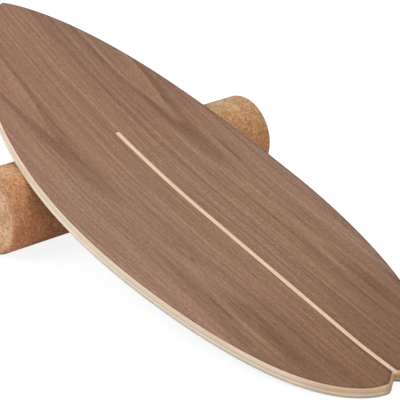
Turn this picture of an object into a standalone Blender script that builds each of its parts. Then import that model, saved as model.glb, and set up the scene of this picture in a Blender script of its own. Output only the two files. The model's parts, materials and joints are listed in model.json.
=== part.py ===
"""Balance roller board: a laminated board with a fish tail, resting on a cork roller.

The board is a stack of thin sheets, cut to one outline and bent to one side profile: flat in the
middle, a long arc up to the nose and a shorter one up to the tail. Its tail stands on the floor and
its nose part lies on the roller, as it does when nobody is on it.

Places on the board are given by how far along the deck they lie from a zero point 8.5 mm ahead of
the foot of the tail's notch, how far to the side, and how deep below the deck. World axes: +X
towards the nose, +Z up, and the floor at Z = 0. Lengths are in metres.
"""
import math

import bmesh
import bpy
from mathutils import Matrix, Vector

# Outline of the board, as distances along the deck and to the side
BOARD_HALF_WIDTH = 0.153
WIDEST_AT = 0.3175
NOSE_TIP_AT = 0.7255
NOSE_FULLNESS = 0.325
NOSE_TIP_ROUND = 0.006
TAIL_FULLNESS = 0.125
SHOULDER_AT = -0.0132
SHOULDER_HALF_WIDTH = 0.046
SHOULDER_ANGLE = math.radians(62.5)
SHOULDER_FULLNESS = 0.086
LOBE_TIP_AT = -0.0209
LOBE_TIP_HALF_WIDTH = 0.0218
LOBE_ROUND = 0.007
NOTCH_AT = -0.0085
OUTLINE_STEPS = 12

# Side profile, measured on the deck
ROCKER_START = 0.307
ROCKER_RADIUS = 1.69
KICK_START = 0.072
KICK_RADIUS = 0.832
ROCKER_STEP = 0.028
KICK_STEP = 0.016

# Layers
VENEER_THICKNESS = 0.0007
PLY_THICKNESS = 0.00212
GLUE_LINE = 0.0002
PLY_COUNT = 5

# Inlaid stripe in the deck
STRINGER_WIDTH = 0.0056
STRINGER_START = 0.471
STRINGER_CLEARANCE = 0.0002

# Roller
ROLLER_RADIUS = 0.05
ROLLER_LENGTH = 0.398
ROLLER_EDGE_ROUND = 0.004
ROLLER_EDGE_STEPS = 3
ROLLER_SIDES = 64
ROLLER_CONTACT_AT = 0.4653
ROLLER_SIDE_SHIFT = -0.0234
SEAT_GAP = 0.0003
CORE_RADIUS = 0.015
CORE_SIDES = 32
CORE_CLEARANCE = 0.0003
PLUG_LENGTH = 0.012

BOARD_THICKNESS = (
    2 * VENEER_THICKNESS + PLY_COUNT * PLY_THICKNESS + (PLY_COUNT + 1) * GLUE_LINE
)


def clear_scene():
    """Remove every object of the scene."""
    for item in list(bpy.data.objects):
        bpy.data.objects.remove(item, do_unlink=True)


def make_collection(name):
    """Return a new collection linked to the scene."""
    collection = bpy.data.collections.new(name)
    bpy.context.scene.collection.children.link(collection)
    return collection


def make_material(name, colour, roughness, metallic=0.0):
    """Return a Principled material of one colour."""
    material = bpy.data.materials.new(name)
    material.use_nodes = True
    shader = material.node_tree.nodes["Principled BSDF"]
    shader.inputs["Base Color"].default_value = (*colour, 1.0)
    shader.inputs["Roughness"].default_value = roughness
    shader.inputs["Metallic"].default_value = metallic
    material.diffuse_color = (*colour, 1.0)
    return material


def add_object(collection, name, data, material=None, parent=None):
    """Link a new object, with its material and its parent."""
    item = bpy.data.objects.new(name, data)
    collection.objects.link(item)
    if material is not None:
        data.materials.append(material)
    item.parent = parent
    return item


def profile_point(along, depth):
    """Return the place (x, z) at a distance along the deck and a depth below it."""
    if along > ROCKER_START:
        angle = (along - ROCKER_START) / ROCKER_RADIUS
        x = ROCKER_START + ROCKER_RADIUS * math.sin(angle)
        z = ROCKER_RADIUS * (1 - math.cos(angle))
    elif along < KICK_START:
        angle = -(KICK_START - along) / KICK_RADIUS
        x = KICK_START + KICK_RADIUS * math.sin(angle)
        z = KICK_RADIUS * (1 - math.cos(angle))
    else:
        angle = 0.0
        x = along
        z = 0.0
    return Vector((x + depth * math.sin(angle), z - depth * math.cos(angle)))


def spaced(start, end, step):
    """Return evenly spaced values from start to end, about a step apart."""
    count = max(1, math.ceil(abs(end - start) / step))
    return [start + (end - start) * i / count for i in range(count + 1)]


def fold_lines():
    """Return the places along the deck where the bent sheets have a fold, tail first."""
    tail = spaced(LOBE_TIP_AT, KICK_START, KICK_STEP)
    nose = spaced(ROCKER_START, NOSE_TIP_AT, ROCKER_STEP)
    return tail + nose


def bend(point, folds):
    """Return the board's own coordinates of a point of a flat sheet, whose -z is its depth."""
    along, side, depth = point.x, point.y, -point.z
    last = len(folds) - 2
    index = next((i for i in range(last + 1) if along <= folds[i + 1]), last)
    start, end = folds[index], folds[index + 1]
    share = (along - start) / (end - start)
    place = profile_point(start, depth).lerp(profile_point(end, depth), share)
    return Vector((place.x, side, place.y))


def outline_knots():
    """Return the outline as Bezier knots: place, handle before it and handle after it."""
    notch = Vector((NOTCH_AT, 0.0))
    lobe = Vector((LOBE_TIP_AT, LOBE_TIP_HALF_WIDTH))
    shoulder = Vector((SHOULDER_AT, SHOULDER_HALF_WIDTH))
    widest = Vector((WIDEST_AT, BOARD_HALF_WIDTH))
    nose = Vector((NOSE_TIP_AT, 0.0))
    along = Vector((1.0, 0.0))
    outward = Vector((0.0, 1.0))
    slope = Vector((math.cos(SHOULDER_ANGLE), math.sin(SHOULDER_ANGLE)))
    notch_reach = (lobe - notch) / 3
    half = [
        (lobe, lobe - outward * LOBE_ROUND, lobe + outward * LOBE_ROUND),
        (shoulder, shoulder - slope * LOBE_ROUND, shoulder + slope * SHOULDER_FULLNESS),
        (widest, widest - along * TAIL_FULLNESS, widest + along * NOSE_FULLNESS),
    ]
    mirrored = [
        tuple(Vector((place.x, -place.y)) for place in (knot, after, before))
        for knot, before, after in half
    ]
    start = (notch, notch + Vector((notch_reach.x, -notch_reach.y)), notch + notch_reach)
    tip = (nose, nose + outward * NOSE_TIP_ROUND, nose - outward * NOSE_TIP_ROUND)
    return [start, *half, tip, *reversed(mirrored)]


def outline_mesh():
    """Return the flat outline of the board as a mesh of edges, drawn with a Bezier curve."""
    curve = bpy.data.curves.new("outline", "CURVE")
    curve.dimensions = "2D"
    curve.fill_mode = "NONE"
    curve.resolution_u = OUTLINE_STEPS
    curve.render_resolution_u = OUTLINE_STEPS
    spline = curve.splines.new("BEZIER")
    knots = outline_knots()
    spline.bezier_points.add(len(knots) - 1)
    for point, (place, before, after) in zip(spline.bezier_points, knots):
        point.handle_left_type = "FREE"
        point.handle_right_type = "FREE"
        point.co = (*place, 0.0)
        point.handle_left = (*before, 0.0)
        point.handle_right = (*after, 0.0)
    spline.use_cyclic_u = True
    drawing = bpy.data.objects.new("outline", curve)
    bpy.context.scene.collection.objects.link(drawing)
    view = bpy.context.evaluated_depsgraph_get()
    mesh = bpy.data.meshes.new_from_object(drawing.evaluated_get(view))
    bpy.data.objects.remove(drawing, do_unlink=True)
    return mesh


def slice_sheet(sheet, place, normal):
    """Cut a flat sheet along the line through a place, square to a normal."""
    bmesh.ops.bisect_plane(
        sheet,
        geom=sheet.verts[:] + sheet.edges[:] + sheet.faces[:],
        dist=1e-7,
        plane_co=place,
        plane_no=normal,
    )


def cut_stripe(sheet, clearance, keep_inside):
    """Keep only the stripe's place in a flat sheet, or all but that place widened by a clearance."""
    half_width = STRINGER_WIDTH / 2 + clearance
    start = STRINGER_START + clearance
    slice_sheet(sheet, (0.0, half_width, 0.0), (0.0, 1.0, 0.0))
    slice_sheet(sheet, (0.0, -half_width, 0.0), (0.0, 1.0, 0.0))
    slice_sheet(sheet, (start, 0.0, 0.0), (1.0, 0.0, 0.0))
    dropped = []
    for face in sheet.faces:
        centre = face.calc_center_median()
        inside = abs(centre.y) < half_width and centre.x < start
        if inside != keep_inside:
            dropped.append(face)
    bmesh.ops.delete(sheet, geom=dropped, context="FACES")


def flat_sheet(stripe):
    """Return the flat outline, cut along the folds.

    With stripe "slot" the stripe's place is left open, and with "inlay" it is all that is kept.
    """
    sheet = bmesh.new()
    sheet.from_mesh(outline_mesh())
    bmesh.ops.contextual_create(sheet, geom=sheet.edges[:])
    if stripe == "slot":
        cut_stripe(sheet, STRINGER_CLEARANCE, keep_inside=False)
    elif stripe == "inlay":
        cut_stripe(sheet, 0.0, keep_inside=True)
    for along in fold_lines():
        slice_sheet(sheet, (along, 0.0, 0.0), (1.0, 0.0, 0.0))
    return sheet


def thicken_and_bend(sheet, top, bottom):
    """Turn a flat sheet into a closed bent one, between two depths below the deck."""
    for vertex in sheet.verts:
        vertex.co.z = -top
    grown = bmesh.ops.extrude_face_region(sheet, geom=sheet.faces[:], use_keep_orig=True)
    for item in grown["geom"]:
        if isinstance(item, bmesh.types.BMVert):
            item.co.z = -bottom
    folds = fold_lines()
    for vertex in sheet.verts:
        vertex.co = bend(vertex.co, folds)
    bmesh.ops.recalc_face_normals(sheet, faces=sheet.faces[:])


def add_sheet(collection, name, material, parent, top, thickness, stripe=""):
    """Add one layer of the board, at a depth below the deck."""
    sheet = flat_sheet(stripe)
    thicken_and_bend(sheet, top, top + thickness)
    mesh = bpy.data.meshes.new(name)
    sheet.to_mesh(mesh)
    sheet.free()
    return add_object(collection, name, mesh, material, parent)


def add_board(collection, parent):
    """Add the layers of the board, from the deck down, and the stripe. Return the lowest layer."""
    walnut = make_material("walnut_veneer", (0.32, 0.18, 0.11), 0.55)
    maple = make_material("maple_inlay", (0.80, 0.60, 0.42), 0.5)
    pale_ply = make_material("pale_ply", (0.79, 0.61, 0.46), 0.65)
    cross_ply = make_material("cross_ply", (0.59, 0.46, 0.35), 0.7)
    grey_ply = make_material("grey_ply", (0.57, 0.49, 0.41), 0.7)
    dark_veneer = make_material("underside_veneer", (0.15, 0.105, 0.075), 0.6)
    add_sheet(collection, "top_veneer", walnut, parent, 0.0, VENEER_THICKNESS, "slot")
    add_sheet(collection, "stringer_inlay", maple, parent, 0.0, VENEER_THICKNESS, "inlay")
    depth = VENEER_THICKNESS + GLUE_LINE
    darker_plies = {3: cross_ply, PLY_COUNT: grey_ply}
    for number in range(1, PLY_COUNT + 1):
        material = darker_plies.get(number, pale_ply)
        add_sheet(collection, f"core_ply_{number}", material, parent, depth, PLY_THICKNESS)
        depth += PLY_THICKNESS + GLUE_LINE
    return add_sheet(collection, "bottom_veneer", dark_veneer, parent, depth, VENEER_THICKNESS)


def roller_centre():
    """Return the roller's centre (x, z) in the board's own coordinates."""
    return profile_point(ROLLER_CONTACT_AT, BOARD_THICKNESS + SEAT_GAP + ROLLER_RADIUS)


def roller_rest_height():
    """Return how high the roller's axis lies when the roller stands on one of its facets."""
    return ROLLER_RADIUS * math.cos(math.pi / ROLLER_SIDES)


def rest_pitch(underside):
    """Return how far the board leans when its tail and the roller both stand on the floor."""
    centre = roller_centre()
    height = roller_rest_height()
    pitches = []
    for point in underside:
        arm = Vector((point.x, point.z)) - centre
        if arm.x < 0:
            pitches.append(math.pi + math.asin(height / arm.length) - math.atan2(arm.y, arm.x))
    return min(pitches)


def place_board(board, underside):
    """Set the board's frame on the roller and on its tail, with its middle at X = 0."""
    turn = Matrix.Rotation(-rest_pitch(underside), 4, "Y")
    centre = roller_centre()
    turned_centre = turn @ Vector((centre.x, 0.0, centre.y))
    reach = [(turn @ child_point).x for child in board.children for child_point in mesh_points(child)]
    middle = (min(reach) + max(reach)) / 2
    rise = roller_rest_height() - turned_centre.z
    board.matrix_world = Matrix.Translation((-middle, -ROLLER_SIDE_SHIFT, rise)) @ turn


def mesh_points(item):
    """Return the places of a mesh object's vertices in its own coordinates."""
    return [vertex.co.copy() for vertex in item.data.vertices]


def add_turned(collection, name, profile, sides, material, parent):
    """Add a turned solid from a closed profile of (radius, height) places, outer side first."""
    mesh = bpy.data.meshes.new(name)
    shape = bmesh.new()
    corners = [shape.verts.new((radius, 0.0, height)) for radius, height in profile]
    for first, second in zip(corners, corners[1:] + corners[:1]):
        shape.edges.new((first, second))
    shape.to_mesh(mesh)
    shape.free()
    item = add_object(collection, name, mesh, material, parent)
    screw = item.modifiers.new("turn", "SCREW")
    screw.axis = "Z"
    screw.steps = sides
    screw.render_steps = sides
    screw.use_merge_vertices = True
    screw.merge_threshold = 0.00001
    screw.use_smooth_shade = True
    item.rotation_euler.z = math.pi / sides
    return item


def add_cylinder(collection, name, radius, length, middle, material, parent):
    """Add a closed cylinder along its parent's Z axis."""
    mesh = bpy.data.meshes.new(name)
    shape = bmesh.new()
    bmesh.ops.create_cone(
        shape, cap_ends=True, segments=CORE_SIDES, radius1=radius, radius2=radius, depth=length
    )
    shape.to_mesh(mesh)
    shape.free()
    mesh.shade_smooth()
    mesh.set_sharp_from_angle(angle=math.radians(40))
    item = add_object(collection, name, mesh, material, parent)
    item.location.z = middle
    return item


def rounded_edge(radius, height):
    """Return the places (radius, height) round the sleeve's upper outer edge, end face first."""
    places = []
    for step in range(ROLLER_EDGE_STEPS + 1):
        angle = math.radians(90) * step / ROLLER_EDGE_STEPS
        out = ROLLER_EDGE_ROUND * (1 - math.sin(angle))
        down = ROLLER_EDGE_ROUND * (1 - math.cos(angle))
        places.append((radius - out, height - down))
    return places


def add_roller(collection, axle):
    """Add the cork sleeve, the core in its bore and the plugs that close the bore."""
    cork = make_material("cork", (0.52, 0.25, 0.12), 0.85)
    beech = make_material("beech_dowel", (0.54, 0.31, 0.16), 0.6)
    half = ROLLER_LENGTH / 2
    bore = CORE_RADIUS + CORE_CLEARANCE
    upper = rounded_edge(ROLLER_RADIUS, half)
    lower = [(radius, -height) for radius, height in reversed(upper)]
    sleeve_profile = [*upper, *lower, (bore, -half), (bore, half)]
    add_turned(collection, "cork_sleeve", sleeve_profile, ROLLER_SIDES, cork, axle)
    core_length = ROLLER_LENGTH - 2 * (PLUG_LENGTH + CORE_CLEARANCE)
    add_cylinder(collection, "roller_core", CORE_RADIUS, core_length, 0.0, beech, axle)
    plug_middle = half - PLUG_LENGTH / 2
    add_cylinder(collection, "near_end_plug", CORE_RADIUS, PLUG_LENGTH, -plug_middle, cork, axle)
    add_cylinder(collection, "far_end_plug", CORE_RADIUS, PLUG_LENGTH, plug_middle, cork, axle)


def add_empty(collection, name, parent=None):
    """Add an empty that carries the pieces of one body."""
    return add_object(collection, name, None, None, parent)


def main():
    """Model the board and its roller."""
    clear_scene()
    collection = make_collection("balance_roller_board")
    board = add_empty(collection, "board_frame")
    lowest = add_board(collection, board)
    place_board(board, mesh_points(lowest))

    pivot = add_empty(collection, "rocker_centre", board)
    pivot.location = (ROCKER_START, ROLLER_SIDE_SHIFT, ROCKER_RADIUS)
    centre = roller_centre()
    axle = add_empty(collection, "roller_axle", pivot)
    axle.location = (centre.x - ROCKER_START, 0.0, centre.y - ROCKER_RADIUS)
    bpy.context.view_layer.update()
    lean = board.matrix_world.to_euler().y
    axle.rotation_euler = (math.radians(90), -lean, 0.0)
    add_roller(collection, axle)
    bpy.context.view_layer.update()
    print("rocker centre", tuple(pivot.matrix_world.translation))
    print("roller axle", tuple(axle.matrix_world.translation))
    print("board leans by degrees", -math.degrees(lean))


main()
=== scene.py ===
"""Looks of the balance roller board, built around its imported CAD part.

The board's sheets and the cork pieces of the roller get finer meshes of the same size, with a sanded
rim and cork grain, and every piece gets a finish made of shader nodes.

Places on the board are flat ones, as before the sheets were bent: how far along the deck from the
tail towards the nose, how far to the side and how deep below the deck. Lengths are in metres.
"""
import json
import logging
import math
from dataclasses import dataclass, field
from enum import Enum
from functools import cached_property

import bmesh
import bpy
from mathutils import Matrix, Vector, kdtree, noise


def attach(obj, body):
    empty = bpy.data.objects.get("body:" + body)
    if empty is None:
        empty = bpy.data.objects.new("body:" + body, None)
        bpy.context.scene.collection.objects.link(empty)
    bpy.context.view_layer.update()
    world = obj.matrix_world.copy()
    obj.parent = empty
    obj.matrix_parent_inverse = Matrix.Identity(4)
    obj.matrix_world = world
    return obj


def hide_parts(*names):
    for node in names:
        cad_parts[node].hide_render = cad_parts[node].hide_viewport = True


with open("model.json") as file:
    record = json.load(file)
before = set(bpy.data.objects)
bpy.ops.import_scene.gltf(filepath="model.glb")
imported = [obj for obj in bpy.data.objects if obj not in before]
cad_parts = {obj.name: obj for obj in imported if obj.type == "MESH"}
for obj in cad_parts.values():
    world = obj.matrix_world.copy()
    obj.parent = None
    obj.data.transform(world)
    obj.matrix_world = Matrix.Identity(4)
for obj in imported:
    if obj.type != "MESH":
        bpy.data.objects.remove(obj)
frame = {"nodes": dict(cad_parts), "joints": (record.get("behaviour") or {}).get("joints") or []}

FLAT_PLACE = "flat_place"
RIM_DISTANCE = "rim_distance"

Colour = tuple[float, float, float, float]
Triple = tuple[float, float, float]
Socket = bpy.types.NodeSocket

log = logging.getLogger("balance_roller_board")


@dataclass(frozen=True)
class Span:
    """A smooth change from one value to another over a range of some measure."""

    low: float
    high: float
    start: float = 0.0
    end: float = 1.0


@dataclass(frozen=True)
class Figure:
    """A noise in a finish: how fine on each axis, how far it sways a value, how detailed."""

    scale: Triple
    sway: float = 1.0
    detail: float = 2.0
    rough: float = 0.5


@dataclass(frozen=True)
class Surface:
    """How a finish reflects light, and how strong and how deep its bump is."""

    roughness: float
    specular: float
    relief: float = 0.0
    relief_depth: float = 0.0


@dataclass(frozen=True)
class Patch:
    """A long patch of the wood's figure, strongest in its middle."""

    along: float
    side: float
    half_length: float
    half_width: float
    strength: float = 1.0


class Body(Enum):
    """The bodies of the CAD part."""

    BOARD = "board"
    AXLE = "axle"
    ROLLER = "roller"


class Slot(Enum):
    """The record's material slots."""

    WALNUT = "walnut_veneer"
    MAPLE = "maple_inlay"
    PALE_PLY = "pale_ply"
    CROSS_PLY = "cross_ply"
    GREY_PLY = "grey_ply"
    UNDERSIDE = "underside_veneer"
    CORK = "cork"


class Grain(Enum):
    """Which way the fibres of a ply run, as the figure that they show on its sanded edge."""

    ALONG = Figure((22.0, 60.0, 1500.0), 1.2, 3.0, 0.6)
    ACROSS = Figure((420.0, 300.0, 900.0), 1.2, 3.0, 0.6)


class Cut(Enum):
    """What is left of a sheet that the stripe's place is cut from."""

    AROUND = "DIFFERENCE"
    INSIDE = "INTERSECT"


def srgb(red: float, green: float, blue: float) -> Colour:
    """Return a colour given as it looks on a screen, 0 to 255, as linear values.

    Args:
        red: Red as shown.
        green: Green as shown.
        blue: Blue as shown.

    Returns:
        The linear colour with full alpha.
    """
    shown = [channel / 255.0 for channel in (red, green, blue)]
    linear = [c / 12.92 if c <= 0.04045 else ((c + 0.055) / 1.055) ** 2.4 for c in shown]
    return (*linear, 1.0)


def even(value: float) -> Colour:
    """Return a colour with the same value in each channel."""
    return (value, value, value, 1.0)


class Graph:
    """A node material in the making."""

    def __init__(self, name: str, surface: Surface) -> None:
        """Start a material.

        Args:
            name: Name of the material.
            surface: How it reflects light, and its bump.
        """
        self.surface = surface
        self.material = bpy.data.materials.new(name)
        self.material.use_nodes = True
        self.tree = self.material.node_tree
        self.shader = self.tree.nodes["Principled BSDF"]
        self.shader.inputs["Roughness"].default_value = surface.roughness
        self.shader.inputs["Specular IOR Level"].default_value = surface.specular

    def feed(self, socket: Socket, value: object) -> None:
        """Link a socket to another node's output, or set its value.

        Args:
            socket: The input.
            value: An output socket, a number or a tuple.
        """
        if isinstance(value, Socket):
            self.tree.links.new(value, socket)
        else:
            socket.default_value = value

    def add(self, kind: str, inputs: dict[object, object], **settings: object) -> bpy.types.Node:
        """Add a node.

        Args:
            kind: The node's type name.
            inputs: What goes into its inputs, by name or number.
            settings: Its own settings.

        Returns:
            The node.
        """
        node = self.tree.nodes.new(kind)
        for name, value in settings.items():
            setattr(node, name, value)
        for name, value in inputs.items():
            self.feed(node.inputs[name], value)
        return node

    def calc(self, operation: str, first: object, *others: object) -> Socket:
        """Work values out one after the other with Math nodes.

        Args:
            operation: What each Math node does.
            first: The first value.
            others: The values that follow, none for an operation on one value.

        Returns:
            The result.
        """
        for other in others or (0.0,):
            first = self.add("ShaderNodeMath", {0: first, 1: other}, operation=operation).outputs[0]
        return first

    def plus(self, *values: object) -> Socket:
        """Return the sum of values."""
        return self.calc("ADD", *values)

    def minus(self, first: object, second: object) -> Socket:
        """Return the first value less the second."""
        return self.calc("SUBTRACT", first, second)

    def times(self, *values: object) -> Socket:
        """Return the product of values."""
        return self.calc("MULTIPLY", *values)

    def size(self, value: object) -> Socket:
        """Return a value without its sign."""
        return self.calc("ABSOLUTE", value)

    def flat_place(self) -> Socket:
        """Return the flat place on the board."""
        return self.add("ShaderNodeAttribute", {}, attribute_name=FLAT_PLACE).outputs["Vector"]

    def rim_distance(self) -> Socket:
        """Return how far the place lies inside the rim of the deck."""
        return self.add("ShaderNodeAttribute", {}, attribute_name=RIM_DISTANCE).outputs["Fac"]

    def object_place(self) -> Socket:
        """Return the place in Object coordinates."""
        return self.add("ShaderNodeTexCoord", {}).outputs["Object"]

    def split(self, vector: Socket) -> list[Socket]:
        """Return the three parts of a vector."""
        return list(self.add("ShaderNodeSeparateXYZ", {0: vector}).outputs)

    def join(self, x: object, y: object, z: object) -> Socket:
        """Return a vector of three parts."""
        return self.add("ShaderNodeCombineXYZ", {0: x, 1: y, 2: z}).outputs[0]

    def noise(self, place: Socket, figure: Figure) -> Socket:
        """Return a noise.

        Args:
            place: The place, before the figure's scale.
            figure: The figure that the noise makes.

        Returns:
            Its value, 0 to 1.
        """
        scaled = self.add("ShaderNodeMapping", {"Vector": place, "Scale": figure.scale}).outputs[0]
        inputs = {"Vector": scaled, "Scale": 1.0, "Detail": figure.detail, "Roughness": figure.rough}
        return self.add("ShaderNodeTexNoise", inputs).outputs[0]

    def swing(self, value: object, amount: float) -> Socket:
        """Return how far a 0 to 1 value lies from its middle, times an amount."""
        return self.times(self.minus(value, 0.5), amount)

    def sway(self, place: Socket, figure: Figure) -> Socket:
        """Return a noise about zero, as strong as its figure says."""
        return self.swing(self.noise(place, figure), figure.sway)

    def cells(self, place: Socket, scale: float, feature: str = "F1") -> bpy.types.Node:
        """Return a Voronoi node."""
        return self.add("ShaderNodeTexVoronoi", {"Vector": place, "Scale": scale}, feature=feature)

    def over(self, value: object, span: Span) -> Socket:
        """Return a value carried smoothly over a span, held at its ends."""
        inputs = {0: value, 1: span.low, 2: span.high, 3: span.start, 4: span.end}
        return self.add("ShaderNodeMapRange", inputs, interpolation_type="SMOOTHSTEP").outputs[0]

    def all_of(self, *limits: tuple[object, Span]) -> Socket:
        """Return the product of two or more values, each carried over its span."""
        return self.times(*(self.over(value, span) for value, span in limits))

    def any_of(self, *limits: tuple[object, Span]) -> Socket:
        """Return the greatest of two or more values, each carried over its span."""
        return self.calc("MAXIMUM", *(self.over(value, span) for value, span in limits))

    def ramp(self, value: object, stops: list[tuple[float, Colour]], blend: str = "LINEAR") -> Socket:
        """Return a colour from a row of colours.

        Args:
            value: Where in the row, 0 to 1.
            stops: Places and colours.
            blend: How the colours run into each other.

        Returns:
            The colour.
        """
        node = self.add("ShaderNodeValToRGB", {0: value})
        node.color_ramp.interpolation = blend
        elements = node.color_ramp.elements
        while len(elements) < len(stops):
            elements.new(1.0)
        for element, (place, colour) in zip(elements, stops):
            element.position = place
            element.color = colour
        return node.outputs[0]

    def shades(self, tone: object, *colours: Colour) -> Socket:
        """Return the colour of a tone.

        Args:
            tone: The tone, 0 in its middle.
            colours: Colours in even steps, the middle of them for a tone of 0.

        Returns:
            The colour.
        """
        last = len(colours) - 1
        stops = [(number / last, colour) for number, colour in enumerate(colours)]
        return self.ramp(self.plus(tone, 0.5), stops)

    def grained(
        self, place: Socket, grain: Figure, flecks: Figure, *colours: Colour
    ) -> tuple[Socket, Socket]:
        """Return wood whose tone follows its grain and its flecks.

        Args:
            place: The place.
            grain: The figure of the grain.
            flecks: The figure of the flecks.
            colours: The colours of its tones, in even steps.

        Returns:
            The colour, and the noise of the grain for the bump.
        """
        fibres = self.noise(place, grain)
        tone = self.plus(self.swing(fibres, grain.sway), self.sway(place, flecks))
        return self.shades(tone, *colours), fibres

    def mix(self, share: object, first: object, second: object, blend: str = "MIX") -> Socket:
        """Return two colours mixed by the share of the second, or blended in another way."""
        inputs = {0: share, 6: first, 7: second}
        return self.add("ShaderNodeMix", inputs, data_type="RGBA", blend_type=blend).outputs[2]

    def tint(self, colour: Socket, tint: object, share: object = 1.0) -> Socket:
        """Return a colour multiplied by a tint, as far as its share goes."""
        return self.mix(share, colour, tint, "MULTIPLY")

    def shade(self, colour: Socket, value: Socket) -> Socket:
        """Return a colour multiplied by one value."""
        return self.tint(colour, self.join(value, value, value))

    def finish(self, colour: Socket, height: Socket) -> bpy.types.Material:
        """Connect the colour and the bump.

        Args:
            colour: Base colour.
            height: Height for the bump.

        Returns:
            The material.
        """
        relief, depth = self.surface.relief, self.surface.relief_depth
        bump = self.add("ShaderNodeBump", {"Height": height, "Strength": relief, "Distance": depth})
        self.feed(self.shader.inputs["Base Color"], colour)
        self.feed(self.shader.inputs["Normal"], bump.outputs[0])
        return self.material


@dataclass(frozen=True)
class DeckPlace:
    """Sockets that tell where on the deck a place lies, and on which half."""

    flat: Socket
    along: Socket
    side: Socket
    bent_side: Socket
    depth: Socket
    half: Socket


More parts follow.
